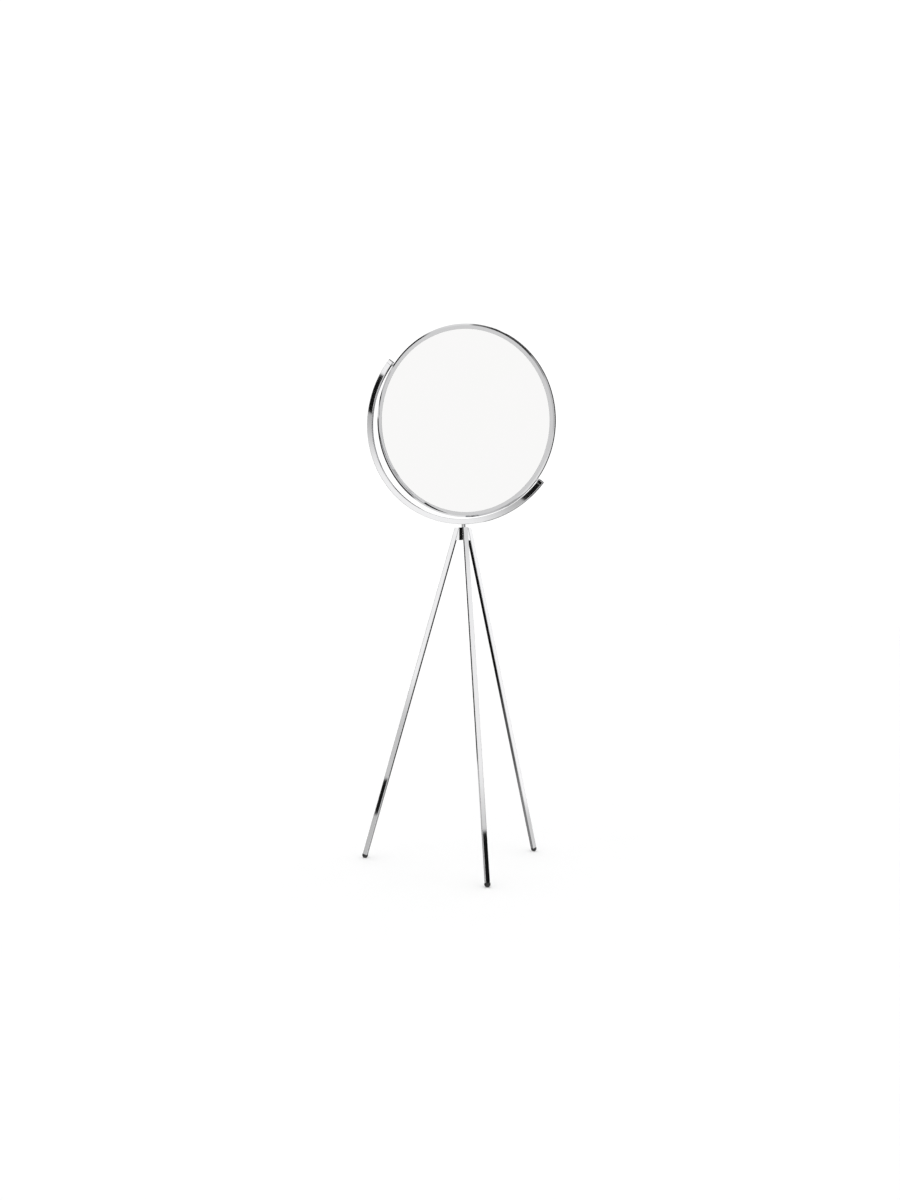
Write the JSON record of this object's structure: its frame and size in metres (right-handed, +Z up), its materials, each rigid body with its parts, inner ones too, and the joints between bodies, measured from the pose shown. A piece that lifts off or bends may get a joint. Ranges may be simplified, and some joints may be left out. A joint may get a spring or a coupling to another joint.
{
  "type": "floor-standing tripod mirror",
  "caption": "Round mirror in a chrome rim, pivoting on a slanting axis in a half-ring yoke that swivels on a slim chrome tripod with rubber feet.",
  "frame": {"origin": "on the floor, under the middle of the whole object's outline at rest", "axes": "+Z up; the mirror faces -Y, the yoke lies in the XZ plane, and the side leg points to -X"},
  "size_m": [0.7318, 0.6712, 1.949],
  "materials": {
    "chrome": "polished chrome plating on steel",
    "mirror": "silvered float glass with a ground edge",
    "rubber": "moulded black rubber",
    "steel": "zinc-plated steel",
    "bronze": "sintered bronze",
    "acetal": "natural moulded acetal",
    "gasket": "black closed-cell foam rubber",
    "board": "plain fibreboard",
    "cover": "satin anodised sheet"
  },
  "bodies": {
    "tripod": {"hub_block": "chrome", "leg_side": "chrome", "leg_side_insert": "steel", "leg_side_dowel_upper": "steel", "leg_side_dowel_lower": "steel", "foot_side": "rubber", "leg_front": "chrome", "leg_front_insert": "steel", "leg_front_dowel_upper": "steel", "leg_front_dowel_lower": "steel", "foot_front": "rubber", "leg_rear": "chrome", "leg_rear_insert": "steel", "leg_rear_dowel_upper": "steel", "leg_rear_dowel_lower": "steel", "foot_rear": "rubber", "stem_bush_upper": "bronze", "stem_bush_lower": "bronze", "thrust_washer": "acetal", "hub_plug": "acetal"},
    "yoke": {"yoke_arc": "chrome", "stem": "chrome", "spring_washer": "steel", "stem_nut": "steel", "end_block_lower": "chrome", "pivot_bush_lower": "acetal", "end_cap_lower": "chrome", "end_block_upper": "chrome", "pivot_bush_upper": "acetal", "end_cap_upper": "chrome"},
    "mirror": {"rim_ring": "chrome", "mirror_glass": "mirror", "glass_gasket": "gasket", "backing_board": "board", "back_cover": "cover", "cover_screw_1": "steel", "cover_screw_2": "steel", "cover_screw_3": "steel", "cover_screw_4": "steel", "cover_screw_5": "steel", "cover_screw_6": "steel", "pivot_pin_lower": "chrome", "pin_clip_lower": "steel", "pivot_pin_upper": "chrome", "pin_clip_upper": "steel"}
  },
  "joints": [
    {"name": "yoke_swivel", "type": "hinge", "parent": "tripod", "child": "yoke", "pos_m": [0.02015, 0, 1.22], "axis": [0, 0, 1], "continuous": true},
    {"name": "mirror_tilt", "type": "hinge", "parent": "yoke", "child": "mirror", "pos_m": [0.02015, 0, 1.604], "axis": [0.7815, 0, -0.6239], "continuous": true}
  ]
}
